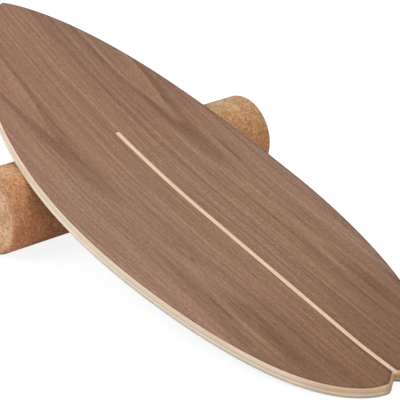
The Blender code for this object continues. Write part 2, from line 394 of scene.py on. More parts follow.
@dataclass(frozen=True)
class WalnutFinish:
    """Oiled walnut veneer, book-matched about the stripe.

    The growth rings show as level lines of one smooth field: a long closed eye near the tail, a
    saddle, then tongues that open towards the nose, all about one axis on each half of the deck.
    """

    name: str = "walnut_oiled"
    surface: Surface = Surface(0.5, 0.35, 0.25, 0.0001)
    dark: Colour = srgb(105, 75, 52)
    middle: Colour = srgb(147, 114, 90)
    light: Colour = srgb(185, 152, 121)

    # The field of the growth rings, and how pale each of its levels is
    far_axis: float = 0.0875
    near_axis: float = 0.0770
    match_shift: float = 0.024
    tightness: float = 420.0
    length: float = 0.8
    field_heights: tuple[tuple[float, float], ...] = (
        (-0.05, 0.28),
        (0.00, 0.34),
        (0.045, 0.395),
        (0.11, 0.44),
        (0.17, 0.395),
        (0.24, 0.315),
        (0.30, 0.335),
        (0.345, 0.37),
        (0.405, 0.43),
        (0.4775, 0.50),
        (0.60, 0.63),
        (0.75, 0.79),
    )
    ring_tones: tuple[tuple[float, float], ...] = (
        (0.20, 0.0),
        (0.30, 0.03),
        (0.355, 0.10),
        (0.380, -0.07),
        (0.43, -0.14),
        (0.485, -0.13),
        (0.504, 0.18),
        (0.56, 0.12),
        (0.64, 0.02),
        (0.80, 0.0),
    )

    # Noises that bend the grain, and those that sway its tone
    wander: Figure = Figure((3.0, 14.0, 0.0), 0.009, 1.0)
    swerve: Figure = Figure((11.0, 45.0, 0.0), 0.0025, 1.0)
    rings: Figure = Figure((4.2, 1.6, 0.22), 0.92, 4.0, 0.66)
    streaks: Figure = Figure((2.6, 170.0, 0.0), 0.80, 3.0, 0.6)
    fibres: Figure = Figure((14.0, 700.0, 0.0), 0.64, 2.0, 0.6)
    mottle: Figure = Figure((90.0, 300.0, 0.0), 0.42, 2.0, 0.6)
    flake: Figure = Figure((260.0, 420.0, 0.0), 0.60, 1.0)
    pores: Figure = Figure((110.0, 2600.0, 0.0), 1.0, 1.0)
    pore_shade: Span = Span(0.30, 0.40, 0.84, 1.0)
    fibre_relief: float = 0.6
    pore_relief: float = 1.5

    # Redder and more olive wood
    olive_tint: Colour = (1.0, 0.975, 0.96, 1.0)
    red_tint: Colour = (1.03, 0.935, 0.915, 1.0)
    red_span: Span = Span(0.0, 1.0)
    tail_red: Span = Span(0.10, 0.24, 0.60, 0.15)
    nose_red: Span = Span(0.38, 0.50)
    near_red: float = 0.15
    hue: Figure = Figure((1.7, 36.0, 1.0), 0.9)
    hue_layer: float = 3.0

    # Patches of the figure
    patch_core: float = 0.2
    fleck_tint: Colour = (0.52, 0.46, 0.40, 1.0)
    flecks: tuple[Patch, ...] = (
        Patch(0.240, -0.1110, 0.050, 0.0020, 0.8),
        Patch(0.392, -0.1110, 0.040, 0.0022),
        Patch(0.504, -0.0965, 0.010, 0.0024),
        Patch(0.243, 0.0690, 0.006, 0.0020, 0.9),
        Patch(0.275, 0.0675, 0.013, 0.0014, 0.8),
        Patch(0.335, 0.0570, 0.020, 0.0014, 0.6),
        Patch(0.105, -0.0660, 0.060, 0.0024, 0.8),
        Patch(0.130, -0.0360, 0.060, 0.0018, 0.6),
        Patch(0.160, 0.0955, 0.035, 0.0020, 0.7),
    )
    shade_tint: Colour = (0.70, 0.67, 0.66, 1.0)
    shades: tuple[Patch, ...] = (
        Patch(0.100, 0.0660, 0.130, 0.036, 0.63),
        Patch(0.190, 0.0930, 0.110, 0.026, 0.63),
        Patch(0.120, -0.0850, 0.090, 0.020, 0.50),
        Patch(0.330, 0.0780, 0.300, 0.040, 0.25),
        Patch(0.073, 0.0750, 0.095, 0.026),
        Patch(0.160, 0.0820, 0.065, 0.016, 0.70),
        Patch(0.240, -0.0800, 0.120, 0.014, 0.22),
        Patch(0.120, -0.0200, 0.120, 0.012, 0.22),
    )
    pale_tint: Colour = (1.09, 1.08, 1.04, 1.0)
    pale_patches: tuple[Patch, ...] = (
        Patch(0.575, 0.0720, 0.070, 0.012, 0.6),
        Patch(0.460, 0.0790, 0.060, 0.014),
        Patch(0.250, -0.0600, 0.100, 0.016),
        Patch(0.280, 0.0200, 0.080, 0.014, 0.8),
        Patch(0.030, 0.0400, 0.090, 0.018),
    )

    # Tints by place: beside the stripe, darker at the sanded rim, painted shade along the far rim, painted
    # light towards the side rims, and at both ends, the tail's darker tone partly painted shade
    beside_tint: Colour = (0.70, 0.67, 0.50, 1.0)
    beside_width: Span = Span(0.0030, 0.0100, 1.0, 0.0)
    beside_fade: Span = Span(0.0, 0.2, 0.75, 0.06)
    beside_end: Span = Span(0.470, 0.476, 1.0, 0.0)
    # darker along the sanded rim and its rounding
    dark_edge_tint: Colour = (0.62, 0.54, 0.42, 1.0)
    dark_edge_width: Span = Span(0.0001, 0.0016, 0.55, 0.0)
    dark_edge_depth: Span = Span(0.0, 0.0004)
    # painted shade along the far rim, where its rounded edge turns away from the light
    far_tint: Colour = (0.72, 0.77, 0.82, 1.0)
    far_rim_shade_width: Span = Span(0.0012, 0.0034, 0.9, 0.0)
    far_rim_shade_side: Span = Span(-0.03, -0.02, 1.0, 0.0)
    far_rim_shade_start: Span = Span(0.0, 0.03)
    # painted pale bluish light towards the side rims, as from the white surroundings
    painted_rim_light_tint: Colour = (1.05, 1.05, 1.12, 1.0)
    painted_rim_light_width: Span = Span(0.100, 0.130)
    nose_tint: Colour = (1.0, 0.965, 0.92, 1.0)
    nose_span: Span = Span(0.36, 0.56)
    # the tail darker: partly the wood's own tone, partly painted shade where it catches less sheen than the
    # nose
    tail_tone_and_shade_tint: Colour = (0.765, 0.735, 0.66, 1.0)
    tail_tone_and_shade_span: Span = Span(-0.02, 0.20, 1.0, 0.0)

    def deck_place(self, graph: Graph) -> DeckPlace:
        """Return where on the deck a place lies.

        Args:
            graph: The material in the making.

        Returns:
            The sockets that tell it.
        """
        flat = graph.flat_place()
        along, side, depth = graph.split(flat)
        bent_side = graph.plus(side, graph.sway(flat, self.wander), graph.sway(flat, self.swerve))
        return DeckPlace(flat, along, side, bent_side, depth, graph.calc("GREATER_THAN", side, 0.0))

    def ring_field(self, graph: Graph, at: DeckPlace) -> Socket:
        """Return the field whose level lines are the growth rings.

        Args:
            graph: The material in the making.
            at: Where on the deck.

        Returns:
            The level there.
        """
        start = self.field_heights[0][0]
        shifted = graph.minus(at.along, graph.times(at.half, self.match_shift))
        stops = [((along - start) / self.length, even(height)) for along, height in self.field_heights]
        scaled = graph.calc("DIVIDE", graph.minus(shifted, start), self.length)
        height = graph.ramp(scaled, stops, "EASE")
        axis = graph.over(at.half, Span(0.0, 1.0, self.far_axis, self.near_axis))
        off_axis = graph.minus(graph.size(at.bent_side), axis)
        return graph.minus(height, graph.times(off_axis, off_axis, self.tightness))

    def tone(self, graph: Graph, at: DeckPlace, fibres: Socket) -> Socket:
        """Return how pale the wood is by its rings, streaks and fibres.

        Args:
            graph: The material in the making.
            at: Where on the deck.
            fibres: The noise of the fibres.

        Returns:
            The tone, about 0.
        """
        level = self.ring_field(graph, at)
        ring_stops = [(place, even(0.5 + tone)) for place, tone in self.ring_tones]
        return graph.plus(
            graph.minus(graph.ramp(level, ring_stops), 0.5),
            graph.sway(graph.join(level, at.along, at.half), self.rings),
            graph.sway(graph.join(at.along, at.bent_side, 0.0), self.streaks),
            graph.swing(fibres, self.fibres.sway),
            graph.sway(at.flat, self.mottle),
            graph.sway(at.flat, self.flake),
        )

    def patch_share(self, graph: Graph, at: DeckPlace, patches: tuple[Patch, ...]) -> Socket:
        """Return how strongly patches cover a place.

        Args:
            graph: The material in the making.
            at: Where on the deck.
            patches: The patches.

        Returns:
            The share, 0 off them.
        """
        shares = []
        for patch in patches:
            away = graph.size(graph.minus(at.along, patch.along))
            beside = graph.size(graph.minus(at.bent_side, patch.side))
            core = patch.half_length * self.patch_core
            lengthwise = Span(core, patch.half_length, patch.strength, 0.0)
            shares.append(graph.all_of((away, lengthwise), (beside, Span(0.0, patch.half_width, 1.0, 0.0))))
        return graph.calc("MAXIMUM", *shares)

    def tinted_by_hue(self, graph: Graph, at: DeckPlace, wood: Socket) -> Socket:
        """Return the wood made redder or more olive.

        Args:
            graph: The material in the making.
            at: Where on the deck.
            wood: Its colour so far.

        Returns:
            The new colour.
        """
        ends = graph.any_of((at.along, self.tail_red), (at.along, self.nose_red))
        sway = graph.sway(graph.join(at.along, at.bent_side, self.hue_layer), self.hue)
        red = graph.plus(ends, graph.times(at.half, self.near_red), sway)
        return graph.tint(wood, graph.mix(graph.over(red, self.red_span), self.olive_tint, self.red_tint))

    def tinted_by_place(self, graph: Graph, at: DeckPlace, wood: Socket) -> Socket:
        """Return the wood with its tints beside the stripe, at the rims and at both ends, with a painted
        shade along the far rim, painted light towards the side rims and a tail whose darker tone is partly
        painted shade.

        Args:
            graph: The material in the making.
            at: Where on the deck.
            wood: Its colour so far.

        Returns:
            The new colour.
        """
        off_middle, rim = graph.size(at.side), graph.rim_distance()
        beside = graph.all_of(
            (off_middle, self.beside_width), (at.along, self.beside_fade), (at.along, self.beside_end)
        )
        # painted shade along the far rim
        far = graph.all_of((rim, self.far_rim_shade_width), (at.side, self.far_rim_shade_side), (at.along, self.far_rim_shade_start))
        # darker along the sanded rim and its rounding
        dark_edge = graph.any_of((rim, self.dark_edge_width), (at.depth, self.dark_edge_depth))
        wood = graph.tint(wood, self.beside_tint, beside)
        wood = graph.tint(wood, self.far_tint, far)
        wood = graph.tint(wood, self.dark_edge_tint, dark_edge)
        # painted light towards the side rims
        wood = graph.tint(wood, self.painted_rim_light_tint, graph.over(off_middle, self.painted_rim_light_width))
        wood = graph.tint(wood, self.nose_tint, graph.over(at.along, self.nose_span))
        # tail: its own darker tone and painted shade
        return graph.tint(wood, self.tail_tone_and_shade_tint, graph.over(at.along, self.tail_tone_and_shade_span))

    def material(self) -> bpy.types.Material:
        """Make the material.

        Returns:
            The material, ready to use.
        """
        graph = Graph(self.name, self.surface)
        at = self.deck_place(graph)
        fibres = graph.noise(at.flat, self.fibres)
        wood = graph.shades(self.tone(graph, at, fibres), self.dark, self.middle, self.light)
        wood = self.tinted_by_hue(graph, at, wood)
        wood = graph.tint(wood, self.fleck_tint, self.patch_share(graph, at, self.flecks))
        wood = graph.tint(wood, self.shade_tint, self.patch_share(graph, at, self.shades))
        wood = graph.tint(wood, self.pale_tint, self.patch_share(graph, at, self.pale_patches))
        wood = self.tinted_by_place(graph, at, wood)
        pores = graph.over(graph.noise(at.flat, self.pores), self.pore_shade)
        relief = graph.plus(graph.swing(fibres, self.fibre_relief), graph.times(pores, self.pore_relief))
        return graph.finish(graph.shade(wood, pores), relief)


@dataclass(frozen=True)
class MapleFinish:
    """Pale maple with fine, nearly straight grain."""

    name: str = "maple_inlay"
    surface: Surface = Surface(0.5, 0.35, 0.15, 0.0001)
    dark: Colour = srgb(218, 189, 160)
    light: Colour = srgb(248, 220, 193)
    grain: Figure = Figure((14.0, 700.0, 0.0), 1.3, 3.0, 0.6)
    flecks: Figure = Figure((160.0, 500.0, 0.0), 0.9)
    # the tail darker, as on the walnut: partly its own tone, partly painted shade
    tail_tone_and_shade_tint: Colour = (0.98, 0.95, 0.95, 1.0)
    tail_tone_and_shade_span: Span = Span(-0.02, 0.15, 1.0, 0.0)

    def material(self) -> bpy.types.Material:
        """Make the material.

        Returns:
            The material, ready to use.
        """
        graph = Graph(self.name, self.surface)
        place = graph.flat_place()
        wood, grain = graph.grained(place, self.grain, self.flecks, self.dark, self.light)
        # tail: its own tone and painted shade
        tail = graph.over(graph.split(place)[0], self.tail_tone_and_shade_span)
        return graph.finish(graph.tint(wood, self.tail_tone_and_shade_tint, tail), grain)


@dataclass(frozen=True)
class PlyLook:
    """The colours of one ply, and which way its fibres run."""

    name: str
    slot: Slot
    grain: Grain
    dark: Colour
    light: Colour
    # at the tail end: the ply's own browner tone and painted shade
    tail_tone_and_shade_tint: Colour


@dataclass(frozen=True)
class PlyFinish:
    """Birch ply seen on its sanded edge, with thin glue lines where it meets its neighbours."""

    look: PlyLook
    top: float
    bottom: float
    surface: Surface = Surface(0.6, 0.3, 0.3, 0.0001)
    blotch: Figure = Figure((18.0, 24.0, 90.0))
    glue_shade: float = 0.84
    glue_start: float = 0.00030
    glue_full: float = 0.00008
    # tail end: the ply's own tone and painted shade
    tail_tone_and_shade_span: Span = Span(0.0, 0.05, 1.0, 0.0)
    # painted shade in the notch of the tail: browner above, greyer below
    notch_shade_brown: Colour = (0.80, 0.72, 0.63, 1.0)
    notch_shade_grey: Colour = (0.62, 0.68, 0.74, 1.0)
    notch_depth: Span = Span(0.004, 0.009)
    notch_side: Span = Span(0.019, 0.029, 1.0, 0.0)
    notch_reach: Span = Span(0.0, 0.005, 1.0, 0.0)
    # painted light on the rim towards the nose, where it lies above the roller
    ahead_painted_light_tint: Colour = (1.07, 1.13, 1.13, 1.0)
    ahead_painted_light_span: Span = Span(0.15, 0.36)
    middle_tint: Colour = even(1.12)
    middle_span: Span = Span(0.05, 0.22)
    middle_top: Span = Span(0.0045, 0.0055)
    middle_bottom: Span = Span(0.0075, 0.0085, 1.0, 0.0)
    # painted light on the lower plies towards the nose
    low_painted_light_tint: Colour = (1.45, 1.37, 1.31, 1.0)
    low_span: Span = Span(0.28, 0.42)
    low_depth: Span = Span(0.0075, 0.0125)

    def material(self) -> bpy.types.Material:
        """Make the material.

        Returns:
            The material, ready to use.
        """
        look = self.look
        graph = Graph(f"{look.name}_wood", self.surface)
        place = graph.flat_place()
        along, side, depth = graph.split(place)
        wood, grain = graph.grained(place, look.grain.value, self.blotch, look.dark, look.light)
        reach = (self.bottom - self.top) / 2
        off_middle = graph.size(graph.minus(depth, (self.top + self.bottom) / 2))
        glue = Span(reach - self.glue_start, reach - self.glue_full, 1.0, self.glue_shade)
        wood = graph.shade(wood, graph.over(off_middle, glue))
        # tail end: the ply's own tone and painted shade
        wood = graph.tint(wood, look.tail_tone_and_shade_tint, graph.over(along, self.tail_tone_and_shade_span))
        # painted shade in the notch
        notch = graph.all_of((graph.size(side), self.notch_side), (along, self.notch_reach))
        notch_shade_colour = graph.mix(graph.over(depth, self.notch_depth), self.notch_shade_brown, self.notch_shade_grey)
        wood = graph.tint(wood, notch_shade_colour, notch)
        # painted light on the rim towards the nose
        wood = graph.tint(wood, self.ahead_painted_light_tint, graph.over(along, self.ahead_painted_light_span))
        middle = graph.all_of(
            (along, self.middle_span), (depth, self.middle_top), (depth, self.middle_bottom)
        )
        wood = graph.tint(wood, self.middle_tint, middle)
        # painted light on the lower plies towards the nose
        low = graph.all_of((along, self.low_span), (depth, self.low_depth))
        return graph.finish(graph.tint(wood, self.low_painted_light_tint, low), grain)


@dataclass(frozen=True)
class CorkFinish:
    """Pressed cork: pale and brown granules of a few millimetres, dark specks and small pits."""

    axle: Triple
    name: str = "pressed_cork"
    surface: Surface = Surface(0.88, 0.2, 0.5, 0.0004)
    dark: Colour = srgb(156, 99, 61)
    middle: Colour = srgb(199, 142, 100)
    light: Colour = srgb(232, 182, 136)
    speck: Colour = srgb(122, 76, 48)

    # Granules, crumbs and seams
    granule: float = 0.0027
    crumbs_to_granule: float = 2.3
    granule_sway: float = 0.42
    crumb_sway: float = 0.30
    seam_shade: Span = Span(0.0, 0.12, 0.84, 1.0)
    drift: Figure = Figure((260.0, 260.0, 260.0), 0.002)
    cloud: Figure = Figure((45.0, 45.0, 45.0), 0.55)
    specks: Figure = Figure((520.0, 520.0, 520.0), 1.0, 2.0, 0.6)
    speck_span: Span = Span(0.66, 0.73)
    pits: Figure = Figure((230.0, 230.0, 230.0), 1.0, 1.0)
    pit_span: Span = Span(0.72, 0.77)
    seam_relief: float = 0.6
    speck_relief: float = 0.7
    granule_relief: float = 0.25

    # Tints by place: painted reddish shade low on the sides, painted light towards the far end, a painted
    # highlight along the top, painted shade on the rounded edges, and paler cut ends
    # painted reddish shade, low on the sides
    low_painted_light_tint: Colour = (1.12, 0.985, 0.98, 1.0)
    low_bottom: Span = Span(0.006, 0.030)
    low_top: Span = Span(0.055, 0.085, 1.0, 0.0)
    # painted light: paler and greener towards the far end
    far_tint: Colour = (1.02, 1.12, 1.12, 1.0)
    far_painted_light_span: Span = Span(-0.19, -0.05, 1.0, 0.0)
    # painted highlight along the top
    top_highlight_tint: Colour = (1.0, 1.20, 1.40, 1.0)
    top_highlight_span: Span = Span(0.0960, 0.0996)
    # painted shade, greyer, on the rounded edges
    round_edge_shade_tint: Colour = (0.87, 0.93, 1.02, 1.0)
    round_span: Span = Span(0.1945, 0.1965)
    end_tint: Colour = (1.14, 1.41, 1.76, 1.0)
    end_from: float = 0.196
    end_radius: Span = Span(0.0450, 0.0468, 1.0, 0.0)

    def tinted(self, graph: Graph, place: Socket, cork: Socket) -> Socket:
        """Return the cork with its painted shade and light by place, and paler on its cut ends.

        Args:
            graph: The material in the making.
            place: The place in Object coordinates.
            cork: Its colour so far.

        Returns:
            The new colour.
        """
        x, across, height = graph.split(place)
        off_middle = graph.size(across)
        inputs = {0: graph.join(x, 0.0, height), 1: self.axle}
        from_axle = graph.add("ShaderNodeVectorMath", inputs, operation="DISTANCE").outputs["Value"]
        on_end = graph.calc("GREATER_THAN", off_middle, self.end_from)
        end_share = graph.times(on_end, graph.over(from_axle, self.end_radius))
        end = graph.tint(cork, self.end_tint)
        # painted reddish shade, low on the sides
        low = graph.all_of((height, self.low_bottom), (height, self.low_top))
        cork = graph.tint(cork, self.low_painted_light_tint, low)
        # painted light towards the far end
        cork = graph.tint(cork, self.far_tint, graph.over(across, self.far_painted_light_span))
        # painted highlight along the top
        cork = graph.tint(cork, self.top_highlight_tint, graph.over(height, self.top_highlight_span))
        # painted shade on the rounded edges
        cork = graph.tint(cork, self.round_edge_shade_tint, graph.over(off_middle, self.round_span))
        return graph.mix(end_share, cork, end)

    def material(self) -> bpy.types.Material:
        """Make the material.

        Returns:
            The material, ready to use.
        """
        graph = Graph(self.name, self.surface)
        place = graph.object_place()
        sway = graph.sway(place, self.drift)
        bent = graph.add("ShaderNodeVectorMath", {0: place, 1: graph.join(sway, 0.0, sway)}).outputs[0]
        granules = graph.split(graph.cells(bent, 1.0 / self.granule).outputs["Color"])[0]
        crumbs = graph.split(graph.cells(bent, self.crumbs_to_granule / self.granule).outputs["Color"])[1]
        tone = graph.plus(
            graph.swing(granules, self.granule_sway),
            graph.swing(crumbs, self.crumb_sway),
            graph.sway(place, self.cloud),
        )
        cork = self.tinted(graph, place, graph.shades(tone, self.dark, self.middle, self.light))
        edges = graph.cells(bent, 1.0 / self.granule, "DISTANCE_TO_EDGE").outputs["Distance"]
        seam = graph.over(edges, self.seam_shade)
        specks, pits = graph.noise(place, self.specks), graph.noise(place, self.pits)
        speck = graph.any_of((specks, self.speck_span), (pits, self.pit_span))
        cork = graph.mix(speck, graph.shade(cork, seam), self.speck)
        relief = graph.minus(graph.times(seam, self.seam_relief), graph.times(speck, self.speck_relief))
        return graph.finish(cork, graph.plus(relief, graph.times(granules, self.granule_relief)))


@dataclass(frozen=True)
class BeechFinish:
    """Turned beech with short dark flecks along the dowel."""

    name: str = "beech_dowel"
    surface: Surface = Surface(0.6, 0.3, 0.2, 0.0002)
    dark: Colour = srgb(176, 132, 92)
    light: Colour = srgb(212, 172, 130)
    grain: Figure = Figure((300.0, 9.0, 300.0), 1.2, 3.0, 0.6)
    flecks: Figure = Figure((900.0, 120.0, 900.0), 0.8, 1.0)

    def material(self) -> bpy.types.Material:
        """Make the material.

        Returns:
            The material, ready to use.
        """
        graph = Graph(self.name, self.surface)
        place = graph.object_place()
        return graph.finish(*graph.grained(place, self.grain, self.flecks, self.dark, self.light))


def link_object(name: str, data: bpy.types.ID) -> bpy.types.Object:
    """Add an object to the scene.

    Args:
        name: Its name.
        data: Its mesh, curve, light or camera.

    Returns:
        The object.
    """
    item = bpy.data.objects.new(name, data)
    bpy.context.scene.collection.objects.link(item)
    return item


def smooth_mesh(solid: bmesh.types.BMesh, crease: float) -> bpy.types.Mesh:
    """Turn a finished solid into a smooth mesh, and free the solid.

    Args:
        solid: The solid, in place.
        crease: Angle from which an edge stays sharp.

    Returns:
        The mesh.
    """
    mesh = bpy.data.meshes.new("piece")
    solid.to_mesh(mesh)
    solid.free()
    mesh.shade_smooth()
    mesh.set_sharp_from_angle(angle=crease)
    return mesh


def add_piece(
    name: str, mesh: bpy.types.Mesh, material: bpy.types.Material, body: Body, slot: Slot, node: str
) -> None:
    """Add a finished piece that stands for a CAD node, and report it.

    Args:
        name: Name of the piece.
        mesh: Its mesh, in place.
        material: Its material.
        body: The body that it moves with.
        slot: The record's material slot; not used.
        node: The CAD node that it stands for.
    """
    mesh.name = name
    mesh.materials.append(material)
    piece = link_object(name, mesh)
    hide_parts(node)
    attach(piece, body.value)
    log.info("%s: %d faces, on %s", name, len(mesh.polygons), body.value)


@dataclass(frozen=True)
class SideProfile:
    """The board seen from the side: flat middle, long arc to the nose, short arc to the tail."""

    rocker_start: float = 0.307
    rocker_radius: float = 1.69
    rocker_fold: float = 0.012
    kick_start: float = 0.072
    kick_radius: float = 0.832
    kick_fold: float = 0.006

    def bend(self, along: float, side: float, depth: float) -> Vector:
        """Return the board's own place of a flat place.

        Args:
            along: How far along the deck.
            side: How far to the side.
            depth: How deep below the deck.

        Returns:
            The place, with the flat middle of the deck at z = 0.
        """
        if along > self.rocker_start:
            start, radius = self.rocker_start, self.rocker_radius
        elif along < self.kick_start:
            start, radius = self.kick_start, self.kick_radius
        else:
            return Vector((along, side, -depth))
        angle = (along - start) / radius
        inner = radius + depth
        return Vector((start + inner * math.sin(angle), side, radius - inner * math.cos(angle)))

    def folds(self, tail: float, nose: float) -> list[float]:
        """Return where the bent ends are cut across, so that they can bend.

        Args:
            tail: Where the tail ends.
            nose: Where the nose ends.

        Returns:
            The places along the deck.
        """
        ahead = math.ceil((nose - self.rocker_start) / self.rocker_fold)
        behind = math.ceil((self.kick_start - tail) / self.kick_fold)
        return [
            self.kick_start,
            self.rocker_start,
            *(self.rocker_start + self.rocker_fold * number for number in range(1, ahead)),
            *(self.kick_start - self.kick_fold * number for number in range(1, behind)),
        ]


@dataclass(frozen=True)
class RimRound:
    """The sanded rounding of an edge: how far in and how far down it reaches, and its rings."""

    width: float
    height: float
    rings: int = 0

    def inset(self, depth: float) -> float:
        """Return how far the surface lies inside the outline.

        Args:
            depth: How deep below the face that the edge belongs to.

        Returns:
            The distance, 0 below the rounding.
        """
        if depth >= self.height:
            return 0.0
        rise = (self.height - depth) / self.height
        return self.width * (1.0 - math.sqrt(max(0.0, 1.0 - rise * rise)))

    def levels(self) -> list[float]:
        """Return depths that step evenly round the edge."""
        turns = [math.pi / 2 * number / self.rings for number in range(self.rings + 1)]
        return [self.height * (1.0 - math.cos(turn)) for turn in turns]


@dataclass(frozen=True)
class Outline:
    """The board's outline with its fish tail, as one closed Bezier curve."""

    half_width: float = 0.153
    widest_at: float = 0.3175
    nose_tip_at: float = 0.7255
    nose_fullness: float = 0.325
    nose_easing: float = 0.6
    nose_tip_round: float = 0.006
    tail_fullness: float = 0.125
    shoulder_at: float = -0.0132
    shoulder_half_width: float = 0.046
    shoulder_angle: float = math.radians(62.5)
    shoulder_fullness: float = 0.086
    lobe_tip_at: float = -0.0209
    lobe_tip_half_width: float = 0.0218
    lobe_round: float = 0.007
    lobe_least_round: float = 0.3
    lobe_easing: float = 0.010
    notch_at: float = -0.0085
    corner_reach: float = 1.15
    steps: int = 44

    def knots(self, rim: float, notch: float) -> list[tuple[Vector, Vector, Vector]]:
        """Return the curve's knots, moved inwards.

        Args:
            rim: How far inwards along the sides and the nose.
            notch: How far inwards in the notch of the tail.

        Returns:
            Place, handle before and handle after, for each knot.
        """
        between = (rim + notch) / 2
        slope = Vector((math.cos(self.shoulder_angle), math.sin(self.shoulder_angle)))
        inwards = Vector((slope.y, -slope.x))
        outward, ahead = Vector((0.0, 1.0)), Vector((1.0, 0.0))
        foot = Vector((self.notch_at + self.corner_reach * notch, 0.0))
        lobe = Vector((self.lobe_tip_at + between, self.lobe_tip_half_width + (notch - rim) / 3))
        shoulder = Vector((self.shoulder_at, self.shoulder_half_width)) + inwards * rim
        widest = Vector((self.widest_at, self.half_width - rim))
        tip = Vector((self.nose_tip_at - self.corner_reach * rim, 0.0))
        lobe_turn = outward * self.lobe_round * max(self.lobe_least_round, 1.0 - between / self.lobe_easing)
        nose_reach = ahead * (self.nose_fullness - self.nose_easing * rim)
        reach = (lobe - foot) / 3
        half = [
            (lobe, lobe - lobe_turn, lobe + lobe_turn),
            (shoulder, shoulder - slope * self.lobe_round, shoulder + slope * self.shoulder_fullness),
            (widest, widest - ahead * self.tail_fullness, widest + nose_reach),
        ]
        mirrored = [
            tuple(Vector((place.x, -place.y)) for place in (knot, after, before))
            for knot, before, after in half
        ]
        start = (foot, foot + Vector((reach.x, -reach.y)), foot + reach)
        end = (tip, tip + outward * self.nose_tip_round, tip - outward * self.nose_tip_round)
        return [start, *half, end, *reversed(mirrored)]

    def add_ring(
        self, solid: bmesh.types.BMesh, rim: float, notch: float, depth: float
    ) -> list[bmesh.types.BMEdge]:
        """Add the outline to a mesh in the making.

        Args:
            solid: The mesh.
            rim: How far inwards along the sides and the nose.
            notch: How far inwards in the notch.
            depth: How deep below the deck.

        Returns:
            The edges added.
        """
        curve = bpy.data.curves.new("outline", "CURVE")
        curve.dimensions = "2D"
        curve.fill_mode = "NONE"
        curve.resolution_u = self.steps
        curve.render_resolution_u = self.steps
        spline = curve.splines.new("BEZIER")
        knots = self.knots(rim, notch)
        spline.bezier_points.add(len(knots) - 1)
        for point, (place, before, after) in zip(spline.bezier_points, knots):
            point.handle_left_type = "FREE"
            point.handle_right_type = "FREE"
            point.co = (*place, 0.0)
            point.handle_left = (*before, 0.0)
            point.handle_right = (*after, 0.0)
        spline.use_cyclic_u = True
        drawing = link_object("outline", curve)
        view = bpy.context.evaluated_depsgraph_get()
        drawn = bpy.data.meshes.new_from_object(drawing.evaluated_get(view))
        bpy.data.objects.remove(drawing, do_unlink=True)
        bpy.data.curves.remove(curve)
        first_vertex, first_edge = len(solid.verts), len(solid.edges)
        solid.from_mesh(drawn)
        bpy.data.meshes.remove(drawn)
        for vertex in list(solid.verts)[first_vertex:]:
            vertex.co.z = -depth
        return list(solid.edges)[first_edge:]


@dataclass(frozen=True)
class Sheet:
    """One sheet of the board, with a ply's look unless it is of walnut or maple."""

    name: str
    node: str
    slot: Slot
    top: float
    bottom: float
    look: PlyLook | None = None

    def material(self) -> bpy.types.Material:
        """Make the material of the sheet.

        Returns:
            The material, ready to use.
        """
        if self.slot is Slot.WALNUT:
            return WalnutFinish().material()
        if self.slot is Slot.MAPLE:
            return MapleFinish().material()
        return PlyFinish(self.look, self.top, self.bottom).material()


